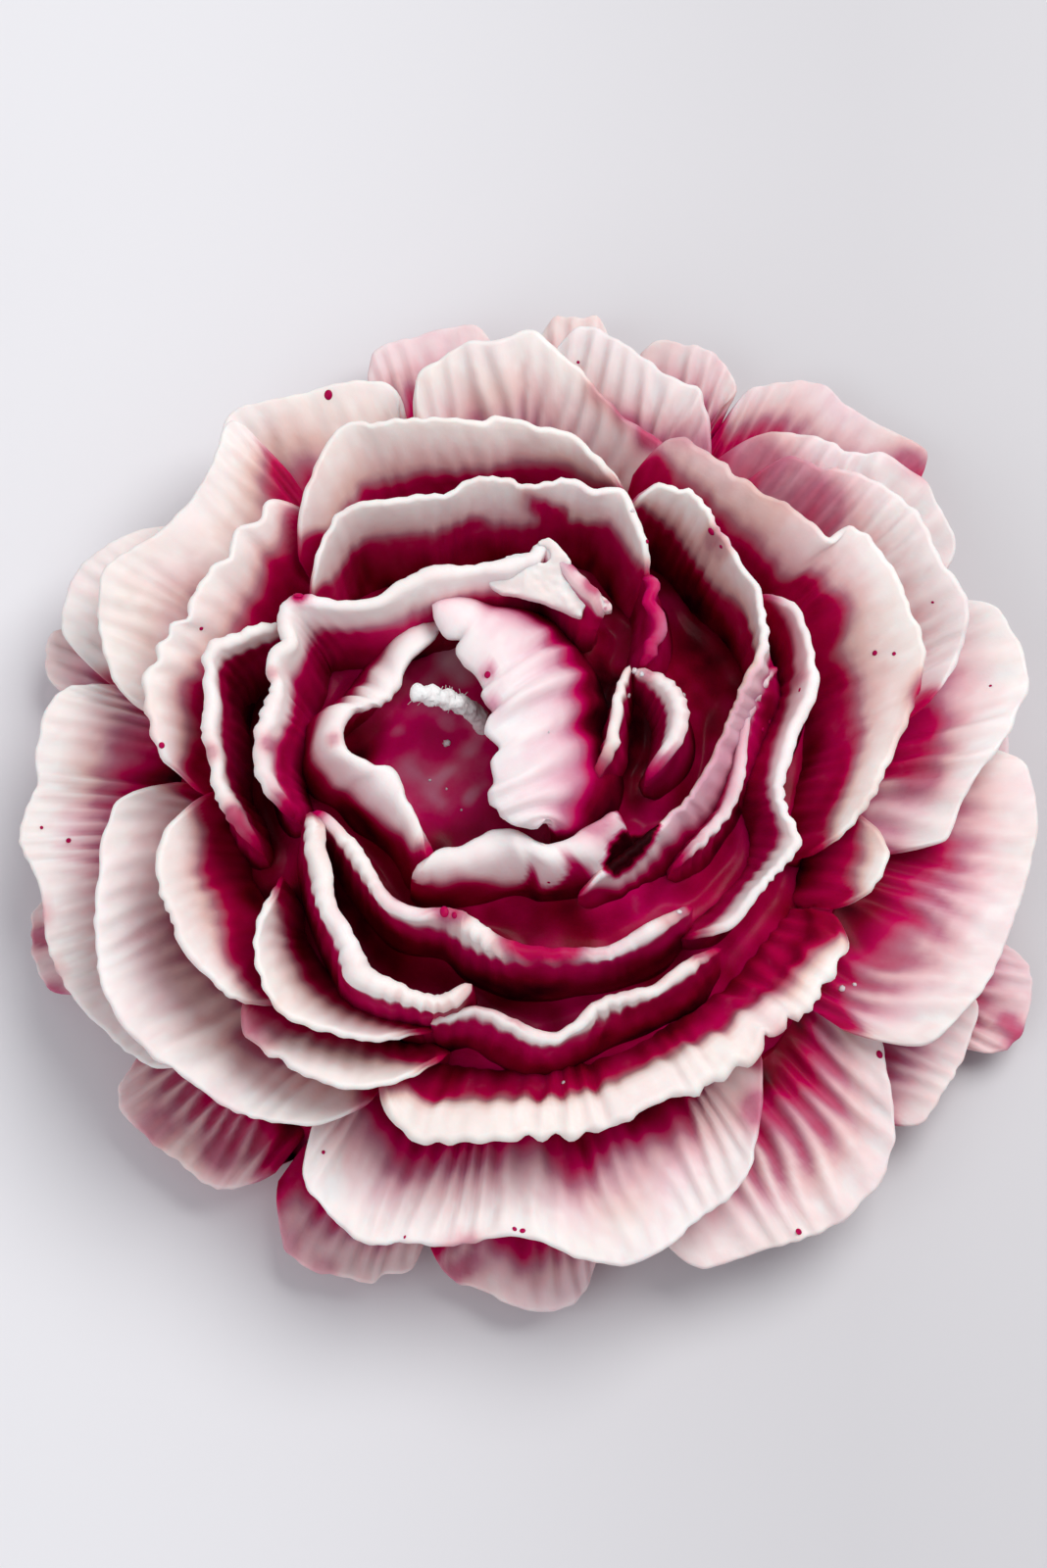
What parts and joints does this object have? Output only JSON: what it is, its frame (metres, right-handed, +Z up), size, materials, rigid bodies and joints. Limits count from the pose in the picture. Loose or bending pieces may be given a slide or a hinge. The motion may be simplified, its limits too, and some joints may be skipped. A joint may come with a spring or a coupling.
{
  "type": "flower candle",
  "caption": "Candle in the shape of an open peony: ribbed, ruffled wax petals in whorls round a dyed wax core, with a leaning cotton wick.",
  "frame": {"origin": "on the table, under the middle of the flower's outline", "axes": "+Z up from the table, +X to the right and +Y away from the viewer of the picture"},
  "size_m": [0.1197, 0.121, 0.0435],
  "materials": {
    "cream_wax": "cream white wax with a satin gloss, dyed magenta towards the root, slightly translucent",
    "blush_wax": "pink-tinted wax with a satin gloss, white only at the rim, slightly translucent",
    "dyed_wax": "deep magenta dyed wax with a satin gloss",
    "cotton": "braided cotton, waxed and fuzzy",
    "steel": "thin tinned steel sheet"
  },
  "bodies": {
    "root": {"heart_petal_right": "cream_wax", "heart_petal_left": "cream_wax", "heart_petal_front": "cream_wax", "inner_petal_back": "blush_wax", "inner_petal_torn": "blush_wax", "inner_petal_fold_near": "blush_wax", "inner_petal_fold_far": "blush_wax", "inner_petal_front_near": "blush_wax", "inner_petal_front_far": "blush_wax", "crown_petal_back": "cream_wax", "crown_petal_right": "cream_wax", "crown_petal_left": "cream_wax", "crown_petal_right_inner": "cream_wax", "crown_petal_right_outer": "cream_wax", "crown_petal_front": "cream_wax", "collar_petal_back": "cream_wax", "collar_petal_back_left": "cream_wax", "collar_petal_right": "cream_wax", "collar_petal_left": "cream_wax", "collar_petal_left_front": "cream_wax", "collar_petal_front_left": "cream_wax", "collar_petal_front": "cream_wax", "collar_petal_front_right": "cream_wax", "guard_petal_back": "cream_wax", "guard_petal_back_right": "cream_wax", "guard_petal_right_high": "cream_wax", "guard_petal_right_back": "cream_wax", "guard_petal_right": "cream_wax", "guard_petal_right_front": "cream_wax", "guard_petal_front_right": "cream_wax", "guard_petal_front": "cream_wax", "guard_petal_left_front": "cream_wax", "guard_petal_left": "cream_wax", "guard_petal_left_back": "cream_wax", "guard_petal_back_left": "cream_wax", "guard_petal_left_back_low": "cream_wax", "skirt_petal_back_left": "blush_wax", "skirt_petal_back": "blush_wax", "skirt_petal_back_right": "blush_wax", "skirt_petal_right_back": "blush_wax", "skirt_petal_right": "blush_wax", "skirt_petal_right_front": "blush_wax", "skirt_petal_front_right": "blush_wax", "skirt_petal_front": "blush_wax", "skirt_petal_front_left": "blush_wax", "skirt_petal_left_front": "blush_wax", "skirt_petal_left": "blush_wax", "skirt_petal_left_back": "blush_wax", "wick": "cotton", "wick_sustainer": "steel", "wax_core": "dyed_wax"}
  },
  "joints": []
}
